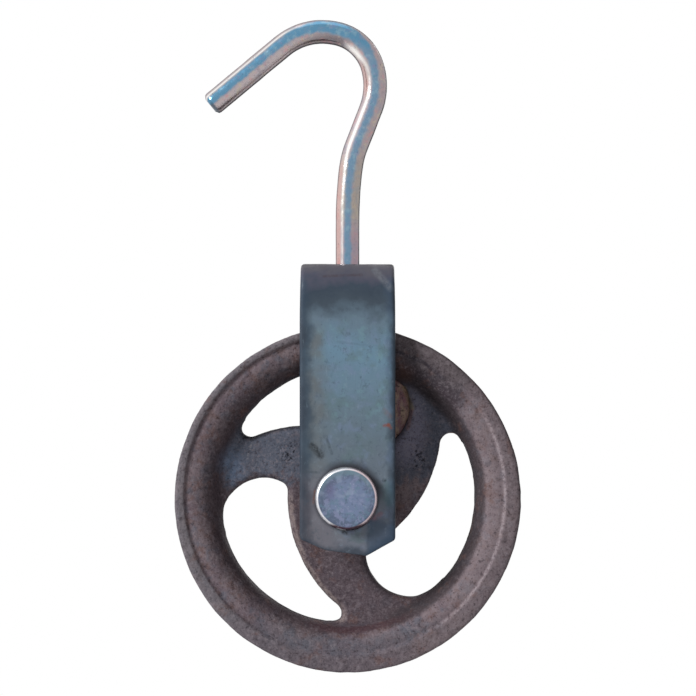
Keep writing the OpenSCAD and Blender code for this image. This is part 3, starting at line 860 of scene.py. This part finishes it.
def cast_iron():
    look = Look("cast_iron")
    fit, noise, paint, times = look.fit, look.noise, look.paint, look.times
    x, y, z = look.x, look.y, look.z
    rim_r, from_window, leftward = (look.attribute(n) for n in ("rim_r", "from_window", "leftward"))
    away = look.maths("ABSOLUTE", y)
    broad = noise(17, 3, 0.55)
    patch = noise(6.0, 4, 0.62, 31)
    other = noise(4.5, 4, 0.62, 91)
    grain = noise(1.5, 4, 0.65, 5)
    sand = noise(0.7, 2, 0.6, 17)
    look.base = look.blend(fit(broad, 0.36, 0.64), "63575e", "74676b")
    paint("595b66", fit(patch, 0.50, 0.64), 0.65)
    paint("5f4a46", fit(other, 0.52, 0.66), 0.60)

    # The rim: its lip, its bottom, painted light on its right side, painted shade on its left, and the
    # painted shadow of the strap over its upper right
    lip_tint = look.blend(fit(x, -40, 40), "656267", "6f6468")
    paint(lip_tint, fit(rim_r, LIP_ROOT - 0.6, LIP_ROOT + 0.2), 0.75)
    paint("554d55", fit(z, -42, -60), fit(x, 34, 14), fit(rim_r, 60, 64), 0.55)
    paint("595a63", fit(z, -48, -56), fit(rim_r, 58, 61), fit(rim_r, 68, 66),
          fit(patch, 0.35, 0.6, 0.3, 0.7))
    # Painted light on the right of the channel, which faces the key lamp
    paint("85787b", fit(x, 35, 55), fit(rim_r, 57, 59), fit(rim_r, 68, 66), 0.45)
    # Painted shadow of the strap over the channel and the lip of the upper right
    paint("3a353c", look.stroke(*RIM_SHADE), 0.85)
    paint("524c4f", look.stroke(*LIP_SHADOW), 0.65)
    # Painted shade on the channel's left and upper left, whose walls face away from the key lamp
    upper_left = times(fit(rim_r, 63.5, 57.5), fit(look.minus(x, z), 30, -5))
    left = times(fit(rim_r, 62.5, 57.5), fit(x, 5, -15))
    paint("3d3439", look.maths("MAXIMUM", upper_left, left), 0.58)

    # The arms, blue above the axle and brown below it, painted light on the right arm, and painted shade in
    # the throat round the windows
    face = fit(away, 3.6, 4.6)
    arms = times(fit(rim_r, 56.0, 53.0), fit(away, 2.0, 3.4))
    blue = fit(look.plus(z, fit(other, 0.3, 0.7, -6, 6)), 2, 12)
    paint(look.blend(fit(x, 0, -20), "4c5260", "555c6a"), arms, blue, 0.85)
    paint("50464c", arms, fit(z, 6, -6), 0.8)
    # Painted shade deep in the throat all round, and more of it right of the strap, where its shadow falls
    deep = times(fit(rim_r, 59.5, 55.5), fit(rim_r, 51.5, 54.5), 0.52)
    paint("3b3136", deep)
    throat = times(fit(rim_r, 59.5, 57.0), fit(rim_r, 51.0, 54.0), fit(x, 10, 24), 0.66)
    paint("2f2b2d", throat)
    paint("68768d", look.spot(*BLUE_SPOT), face, fit(other, 0.35, 0.6, 0.45, 1.0))
    paint("85868e", look.stroke(*ARM_SCRATCH), fit(grain, 0.4, 0.6), 0.5)
    # Painted light on the right arm, lifting the strap's shadow there
    paint("777486", look.spot(*ARM_LIGHT_SPOT), arms, 0.75)
    paint("644a44", fit(noise(9, 4, 0.65, 71), 0.54, 0.68), 0.5, look.minus(1.0, times(arms, blue, 0.7)))

    # Edges: painted shade in the windows, a painted highlight on the left, a painted highlight and painted
    # shade along the step, and painted shade where the lower arm meets the rim
    round_top = fit(away, 2.0, 3.4)
    # Painted shade on the window walls below the arms' rounded tops
    paint("241f22", fit(from_window, 1.5, 0.5), look.minus(1.0, round_top), 0.72)
    # Painted shade along the edge of the upper left arm at its window
    paint("27262c", fit(from_window, 1.9, 0.7), fit(z, 8, 14), fit(rim_r, 53, 50), fit(x, 0, -8), 0.65)
    # Painted highlight on the rounded arm edges that face left, toward the key lamp
    paint("8d7f7b", fit(from_window, 4.4, 1.8), fit(other, 0.32, 0.52, 0.35, 1.0), round_top,
          fit(x, 4, -4), fit(z, 6, -4), fit(leftward, 0.02, 0.35),
          fit(grain, 0.38, 0.58, 0.35, 1.0), 0.60)
    # Painted highlight along the step on the right, whose slope faces the key lamp
    paint("a0969a", fit(rim_r, 65.6, 66.4), fit(rim_r, 67.4, 66.8), fit(x, 30, 52),
          fit(z, 42, 26), fit(grain, 0.40, 0.60, 0.15, 1.0), 0.50)
    # Painted shade along the step on the left, whose slope faces away from the key lamp
    paint("2f292d", fit(rim_r, 64.9, 65.8), fit(rim_r, 67.6, 66.9), fit(x, 25, 0), fit(z, -60, -45), 0.16)
    # Painted shade in the crease where the lower arm meets the channel
    paint("43292d", fit(rim_r, 58.5, 56.5), fit(rim_r, 54.5, 55.5), fit(z, -46, -54),
          fit(x, -22, -8), 0.6)
    ink = look.maths("MAXIMUM", *(times(look.stroke(*line), strength) for line, strength in INK_LINES))
    paint("26242f", ink, fit(other, 0.30, 0.55, 0.3, 1.0))

    # The skin of iron in the upper window: its brown, made lighter as painted light against the strap's
    # shadow, and painted highlights along its lit right edge
    skin = times(fit(away, 2.6, 1.8), fit(x, 12, 13), fit(z, 12, 14), fit(rim_r, 54, 52))
    earth = fit(noise(2.2, 4, 0.7, 23, (1, 1, 0.35)), 0.38, 0.62)
    paint(look.blend(earth, "86646a", "a89080"), skin, 0.95)
    for streak, code in SKIN_EDGE_HIGHLIGHTS:
        paint(code, look.stroke(*streak), 0.5)
    paint("4c3530", look.spot(*RUSTY_SPOT), 0.6)

    # The grain of the sand, from coarse to fine, light and dark, and the pits
    open_face = look.minus(1.0, look.maths("MAXIMUM", deep, throat))
    mottled = noise(2.4, 3, 0.6, 55)
    paint("847a80", fit(mottled, 0.52, 0.70), 0.30, open_face)
    paint("383136", fit(mottled, 0.47, 0.30), 0.35)
    paint("857d82", fit(grain, 0.50, 0.74), 0.42, open_face)
    paint("352e32", fit(grain, 0.46, 0.29), 0.70)
    paint("8e878b", fit(sand, 0.55, 0.74), 0.26, open_face)
    paint("2c262a", fit(sand, 0.43, 0.28), 0.55)
    pits = noise(1.5, 3, 0.6, 12.6)
    for x0, z0, wide, high in PITTED:
        here = look.spot(x0, z0, wide, high, PIT_SOFTNESS)
        paint("80767c", fit(pits, 0.58, 0.64), here, 0.5)
        paint("1a181d", fit(pits, 0.47, 0.39), here, 0.8)
    coarse = look.bump(noise(3.0, 4, 0.6, 9), 0.60, 0.7)
    return look.finish(fit(broad, 0.3, 0.7, 0.68, 0.84), look.bump(grain, 0.26, 0.8, coarse),
                       Metallic=0.0, Specular_IOR_Level=0.05)


# Colours of the strap's face from its fold downwards, as height over the axle and colour. The light top is a
# painted reflection of the bend and the dark bands below it painted shade; further down it is the strap's
# own colour.
STRAP_TINTS = ((98.8, "504e55"), (93.5, "434452"), (89.0, "303b48"), (82.5, "3a4550"),
               (75.0, "5d707f"), (64.0, "638094"), (28.0, "5c6b77"), (-10.0, "636873"))
STRAP_TINTS_START = 99.4
# Marks on it, from place to place, half width, strength and colour: dark ones, then rusty and pale ones
STRAP_MARKS = (
    (-14.8, 22.8, -11.2, 19.0, 2.4, 1.0, "2b3035"), (-8.6, 25.5, -6.6, 19.5, 0.9, 0.7, "3d464e"),
    (-10.6, 33.0, -9.8, 36.0, 0.5, 0.5, "48545e"), (15.1, 8.4, 15.5, 8.4, 1.1, 1.0, "161f26"),
    (-2.7, 29.6, -2.5, 29.6, 0.5, 0.8, "2d3943"), (-19.0, 12.2, -12.0, 11.6, 0.8, 0.55, "3a444c"),
    (-4.0, 66.2, 8.0, 64.8, 0.8, 0.35, "4f6673"), (-7.0, 51.5, -5.0, 56.5, 0.8, 0.35, "4b6372"),
    (-9.5, 58.0, -6.0, 56.8, 0.7, 0.30, "4b6372"), (6.0, 50.2, 12.0, 50.0, 0.5, 0.25, "4f6673"),
    (0.0, 22.5, 9.0, 23.0, 0.5, 0.30, "4f5b64"), (8.6, -14.0, 8.6, -21.0, 0.9, 0.45, "38424f"),
    # The first mark on the next line is painted shade in the gap under the pin's head
    (-1.6, -13.2, -0.8, -13.6, 1.4, 0.9, "25282d"), (-14.2, -1.0, -13.6, 4.0, 0.9, 0.6, "6a4a3f"),
    (15.3, 31.2, 17.2, 31.6, 1.1, 0.8, "744238"), (17.0, 31.4, 17.9, 30.4, 1.2, 0.7, "744238"),
    (15.6, 37.5, 17.6, 35.0, 1.7, 0.35, "6b5148"), (11.0, -7.6, 14.0, -5.6, 1.6, 0.6, "74515a"),
    (11.5, 96.0, 18.0, 88.5, 2.2, 0.45, "70757c"), (-10.0, 93.6, 6.0, 94.2, 0.9, 0.6, "3c3238"))
MARK_SOFTNESS = 0.8
# How much further down the colours reach at the edges, per square millimetre
TINT_DIP = 0.004


def strap_steel():
    look = Look("strap_steel")
    fit, noise, paint, times = look.fit, look.noise, look.paint, look.times
    x, z = look.x, look.z
    drift = times(fit(noise(9, 3, 0.55, 51), 0.3, 0.7, -2.6, 2.6), fit(z, 98.6, 95))
    wavy = look.plus(look.plus(z, times(x, x, TINT_DIP)), drift)
    look.base = look.blend(fit(noise(7, 2, 0.5, 52), 0.3, 0.7), "3d3b3e", "45434a")
    # Bands by height: painted reflection and painted shade at the fold, then the strap's own colours
    high = STRAP_TINTS_START
    for low, code in STRAP_TINTS:
        paint(code, fit(wavy, high, low, kind="LINEAR"))
        high = low
    cloud = noise(9, 4, 0.6, 3)
    tinted = noise(6, 4, 0.62, 33)
    flaky = noise(2.6, 4, 0.65, 43)
    middle = fit(z, 80, 70)
    paint("566a6e", fit(cloud, 0.48, 0.66), 0.6, middle)
    paint("6c7b96", fit(tinted, 0.50, 0.68), 0.45, middle)
    paint("6a8c93", fit(tinted, 0.46, 0.32), 0.40, middle, fit(z, 24, 40))

    # Bands along its sides, and painted shade along its rounded edges
    shaky = fit(noise(8, 3, 0.55, 61), 0.3, 0.7, -1.3, 1.3)
    side = look.plus(x, shaky)
    below_fold = fit(z, 95, 90)
    paint("5d6469", fit(side, -5.5, -12.5), fit(z, 82, 66), fit(cloud, 0.35, 0.6, 0.5, 0.95))
    paint("636169", fit(z, 18, 2), fit(x, 4, -10), 0.85)
    paint(look.blend(fit(z, 18, 2), "2d3c4b", "3e3e47"), fit(side, -13.0, -17.4), below_fold, 0.80)
    paint("38495e", fit(side, 15.0, 19.0), below_fold, 0.50)
    # Painted shade along the strap's rounded edges
    paint("2a333f", fit(look.plus(look.attribute("from_edge"), shaky), 3.8, 0.4), below_fold, 0.8)
    paint("8394a0", fit(flaky, 0.56, 0.70), middle, fit(side, -17, -13), 0.16)
    paint("3b4652", fit(flaky, 0.44, 0.30), 0.40)

    # Darker round the pin's head, most above it, and the blue below and right of it, partly a stain and
    # partly painted shadow of the head
    ring = look.far_from(*HEAD_OFF)
    above = fit(look.plus(z, times(x, 0.5)), 4, 12)
    paint("2c2e35", fit(ring, 17.0, 13.4), above, 0.85)
    paint("2b2c32", fit(ring, 14.6, 13.2), 0.6)
    # Partly a stain and partly painted shadow of the pin's head, below and right of it
    paint("2e4156", fit(x, 6.4, 10.0), fit(look.plus(z, times(x, 0.4)), 0, -5), 0.66)
    paint("41606e", look.spot(17.5, 3.0, 3.5, 9, 0.9), 0.35)

    broken = fit(noise(1.6, 3, 0.65, 77), 0.35, 0.6, 0.35, 1.0)
    for x0, z0, x1, z1, half, strength, code in STRAP_MARKS:
        paint(code, look.stroke(x0, z0, x1, z1, half, MARK_SOFTNESS), strength, broken)
    scratch = noise(1.4, 4, 0.6, 14, (1, 1, 0.3), 0.8)
    paint("8a9ca9", fit(scratch, 0.60, 0.76), 0.16, middle)
    paint("3a4854", fit(scratch, 0.40, 0.28), 0.35)
    return look.finish(fit(noise(6, 4, 0.6, 7), 0.3, 0.7, 0.46, 0.66),
                       look.bump(noise(1.8, 4, 0.6, 30), 0.07, 0.6), Metallic=0.1, Specular_IOR_Level=0.25)


def rod_zinc():
    look = Look("rod_zinc")
    fit, noise, paint, times = look.fit, look.noise, look.paint, look.times
    white, blue, pink, under, up, edge, to_end, matt = (
        look.attribute(n) for n in ("white", "blue", "pink", "under", "upward", "edge", "to_end", "matt"))
    # Warm zinc, with a painted dark reflection on the under side of its crown and point, and tan and rose
    # streaks
    below = look.blend(fit(to_end, 66, 40), "80777b", "b6aaac")
    look.base = look.blend(under, "a5979a", below)
    streak = noise(2.6, 4, 0.65, 3)
    paint("b9ae9a", fit(streak, 0.52, 0.66), 0.6)
    paint("857c86", fit(streak, 0.46, 0.32), 0.55)
    paint("bd9093", fit(noise(3.2, 3, 0.6, 34), 0.54, 0.68), 0.6)
    paint("a09a88", fit(look.z, 112, 122), fit(look.z, 150, 138), 0.5)
    paint("968290", fit(look.z, 120, 110), 0.5)

    # The painted reflection of the sky, in a band along it
    sky = look.blend(fit(up, 0.1, 0.5), "6f8da5", "5d8ba8")
    sky = look.blend(fit(noise(3.4, 4, 0.65, 44), 0.50, 0.66, 0, 0.5), sky, "8eabb8")
    sky = look.blend(fit(noise(2.8, 4, 0.65, 64), 0.54, 0.70, 0, 0.5), sky, "8583a6")
    sky = look.blend(fit(noise(3.0, 4, 0.65, 84), 0.46, 0.30, 0, 0.5), sky, "557f94")
    wavy = look.plus(blue, fit(noise(3.2, 2, 0.5, 24), 0.3, 0.7, -0.2, 0.2))
    paint(sky, fit(wavy, -0.1, 1.0))

    # Its painted pink reflection on one side, its white line of painted highlight, and painted shade on its
    # edges and at the end
    paint("cdada8", pink)
    paint("c78f8c", pink, fit(noise(3.5, 3, 0.6, 94), 0.5, 0.7, 0, 0.6))
    paint("fbf8f4", white, 0.95)
    paint("47444a", edge, 0.85)
    paint("3d5260", fit(to_end, 1.9, 1.0), fit(up, 0.75, 0.35), 0.8)
    paint("4b505e", fit(noise(1.1, 3, 0.6, 15), 0.38, 0.28), 0.5)
    rough = look.maths("MAXIMUM", fit(noise(2.5, 4, 0.6, 8), 0.3, 0.7, 0.13, 0.22),
                       fit(edge, 0.2, 0.9, 0.0, 0.6))
    plate = times(fit(edge, 0.0, 0.7, 0.85, 0.0), look.minus(1.0, matt))
    return look.finish(rough, look.bump(noise(1.3, 3, 0.55, 12), 0.04, 0.5),
                       Metallic=plate, Specular_IOR_Level=0.05)


def pin_zinc():
    look = Look("pin_zinc")
    fit, noise, paint, times = look.fit, look.noise, look.paint, look.times
    x, y, z = look.x, look.y, look.z
    dx = look.minus(x, HEAD_OFF[0])
    rho = look.far_from(*HEAD_OFF)
    cloudy = noise(3.6, 4, 0.62, 2)
    disc = look.plus(look.minus(rho, times(dx, 0.12)), fit(cloudy, 0.3, 0.7, -2.2, 2.2))
    look.base = look.blend(fit(disc, 10.2, 6.6), "515d73", "687692")
    paint("7d84a2", fit(cloudy, 0.50, 0.62), 0.70)
    paint("5c7688", fit(noise(3.0, 4, 0.6, 57), 0.50, 0.62), 0.65)
    paint("465166", fit(noise(2.1, 4, 0.6, 27), 0.53, 0.68), 0.6)
    paint("8f9ab0", fit(noise(4.0, 2, 0.5, 37), 0.54, 0.70), 0.35)
    paint("5e597c", look.spot(-7.0, 4.0, 3.5, 6, 0.9), 0.5)
    paint("6c838d", fit(rho, 9.2, 11.2), fit(z, 2, 8), 0.6)

    # Painted highlight on the ring of the rounded edge, pinkish on the right, with a painted glint at the
    # bottom, painted shade below and a painted dark outline on the right
    inner = fit(times(dx, -1), -2, 4, 11.7, 11.5)
    ring = look.blend(fit(x, -2, 6), "dfdfe3", "dcc8cc")
    ring = look.blend(fit(z, -8.6, -10.6), ring, "4c3039")
    ring = look.blend(look.stroke(-4.4, -11.6, -1.2, -12.4, 0.7, 0.7), ring, "d9d6da")
    paint(ring, fit(look.minus(rho, inner), 0, 0.5), 0.9)
    paint("6a5a62", fit(rho, 12.6, 13.0), fit(x, -4, 6), 0.6)
    paint("d8dce4", fit(noise(0.9, 2, 0.5, 17), 0.70, 0.78), 0.3)

    # Plain bright zinc at its rear end
    behind = fit(y, -20, -17)
    paint("8b8f96", behind, 0.8)
    shiny = look.maths("MAXIMUM", fit(rho, 10.8, 11.6, 0.12, 0.8), times(behind, 0.8))
    return look.finish(fit(noise(3, 4, 0.6, 5), 0.3, 0.7, 0.30, 0.44),
                       look.bump(noise(1.6, 4, 0.6, 22), 0.06, 0.6), Metallic=shiny, Specular_IOR_Level=0.35)


def small_zinc():
    look = Look("small_zinc")
    fit, noise = look.fit, look.noise
    look.base = look.blend(fit(noise(3, 4, 0.6, 6), 0.35, 0.65), "7d8288", "9a9ea4")
    look.paint("6a5648", fit(noise(1.3, 3, 0.6, 11), 0.62, 0.75), 0.6)
    return look.finish(fit(noise(2, 4, 0.6, 9), 0.3, 0.7, 0.32, 0.55),
                       look.bump(noise(0.9, 4, 0.6, 3), 0.04, 0.5), Metallic=0.8)


# The stage: a pale floor that fades into the white background, and soft lamps
FLOOR_Z = -330.0
FLOOR_RADII = (0.06, 0.12, 0.2, 0.3, 0.4, 0.52)
FLOOR_SIDES = 72
FLOOR_FADES = (0.22, 0.37)
FLOOR_TINTS = (0.90, 0.94)
FLOOR_GRAIN = 9
AMBIENT = 0.09
WHITE = (1, 1, 1, 1)


def floor_mesh():
    n = FLOOR_SIDES
    points = [(0.0, 0.0, 0.0)]
    points += [(r * math.cos(a), r * math.sin(a), 0.0) for r in FLOOR_RADII for a in circle(n)]
    faces = [(0, 1 + i, 1 + (i + 1) % n) for i in range(n)]
    faces += [(a + i, a + n + i, a + n + (i + 1) % n, a + (i + 1) % n)
              for a in range(1, 1 + (len(FLOOR_RADII) - 1) * n, n) for i in range(n)]
    mesh = bpy.data.meshes.new("floor")
    mesh.from_pydata(points, [], faces)
    return mesh


def link_all(tree, pairs):
    for source, target in pairs:
        tree.links.new(source, target)


def make_floor():
    mesh = floor_mesh()
    floor = bpy.data.objects.new("floor", mesh)
    floor.location = (AXLE[0] * MM, 0, FLOOR_Z * MM)
    bpy.context.scene.collection.objects.link(floor)
    material = bpy.data.materials.new("pale_floor")
    material.use_nodes = True
    tree = material.node_tree
    shader, out = tree.nodes["Principled BSDF"], tree.nodes["Material Output"]
    set_inputs(shader, Roughness=0.9, Specular_IOR_Level=0.0)
    where, far, grain, tint, fade, clear, blend = (tree.nodes.new("ShaderNode" + kind) for kind in (
        "TexCoord", "VectorMath", "TexNoise", "MapRange", "MapRange", "BsdfTransparent", "MixShader"))
    far.operation = "LENGTH"
    set_inputs(grain, Scale=FLOOR_GRAIN)
    set_inputs(tint, To_Min=FLOOR_TINTS[0], To_Max=FLOOR_TINTS[1])
    fade.interpolation_type = "SMOOTHSTEP"
    set_inputs(fade, From_Min=FLOOR_FADES[0], From_Max=FLOOR_FADES[1])
    link_all(tree, (
        (where.outputs["Object"], far.inputs[0]), (where.outputs["Object"], grain.inputs["Vector"]),
        (grain.outputs["Fac"], tint.inputs["Value"]), (tint.outputs["Result"], shader.inputs["Base Color"]),
        (far.outputs["Value"], fade.inputs["Value"]), (fade.outputs["Result"], blend.inputs[0]),
        (shader.outputs[0], blend.inputs[1]), (clear.outputs[0], blend.inputs[2]),
        (blend.outputs[0], out.inputs["Surface"])))
    mesh.materials.append(material)


def make_world():
    """Dim soft light all round, which shows white to the camera and in mirror rays"""
    world = bpy.data.worlds.new("studio")
    bpy.context.scene.world = world
    world.use_nodes = True
    tree = world.node_tree
    soft = tree.nodes["Background"]
    white, path, first, second, blend = (tree.nodes.new("ShaderNode" + kind) for kind in (
        "Background", "LightPath", "Math", "Math", "MixShader"))
    set_inputs(soft, Color=WHITE, Strength=AMBIENT)
    set_inputs(white, Color=WHITE, Strength=1.0)
    first.operation = second.operation = "ADD"
    second.use_clamp = True
    out = tree.nodes["World Output"]
    link_all(tree, (
        (path.outputs["Is Camera Ray"], first.inputs[0]), (path.outputs["Is Glossy Ray"], first.inputs[1]),
        (first.outputs[0], second.inputs[0]), (path.outputs["Is Transmission Ray"], second.inputs[1]),
        (second.outputs[0], blend.inputs[0]), (soft.outputs[0], blend.inputs[1]),
        (white.outputs[0], blend.inputs[2]), (blend.outputs[0], out.inputs["Surface"])))


# Lamps: name, place, width, power, and whether mirror rays see it. All point at the object's middle.
LAMP_TARGET = (0.011, 0.0, -0.14)
LAMPS = (("key", (-1.12, -0.74, 0.52), 0.52, 28.5, True), ("fill", (0.9, -1.1, -0.1), 0.9, 0.8, False),
         ("front", (0.05, -1.5, 0.0), 0.9, 3.4, False), ("top", (0.0, 0.1, 1.1), 0.8, 1.6, True),
         ("back", (0.5, 1.1, 0.25), 0.8, 5.0, True))


def make_lamp(name, place, width, power, mirrored):
    data = bpy.data.lights.new(name, "AREA")
    data.shape = "RECTANGLE"
    data.size = data.size_y = width
    data.energy = power
    obj = bpy.data.objects.new(name, data)
    obj.location = place
    obj.visible_glossy = mirrored
    obj.rotation_euler = (Vector(LAMP_TARGET) - Vector(place)).to_track_quat("-Z", "Y").to_euler()
    bpy.context.scene.collection.objects.link(obj)


make_floor()
make_world()
for lamp in LAMPS:
    make_lamp(*lamp)
bpy.context.scene.view_settings.view_transform = "Standard"

for make, finish in ((make_sheave, cast_iron), (make_strap, strap_steel),
                     (make_hook, rod_zinc), (make_pin, pin_zinc)):
    dress(make(), finish())
plain_zinc = small_zinc()
for name in ("pin_washer", "hook_washer", "hook_nut", "split_pin"):
    dress(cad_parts[name], plain_zinc)
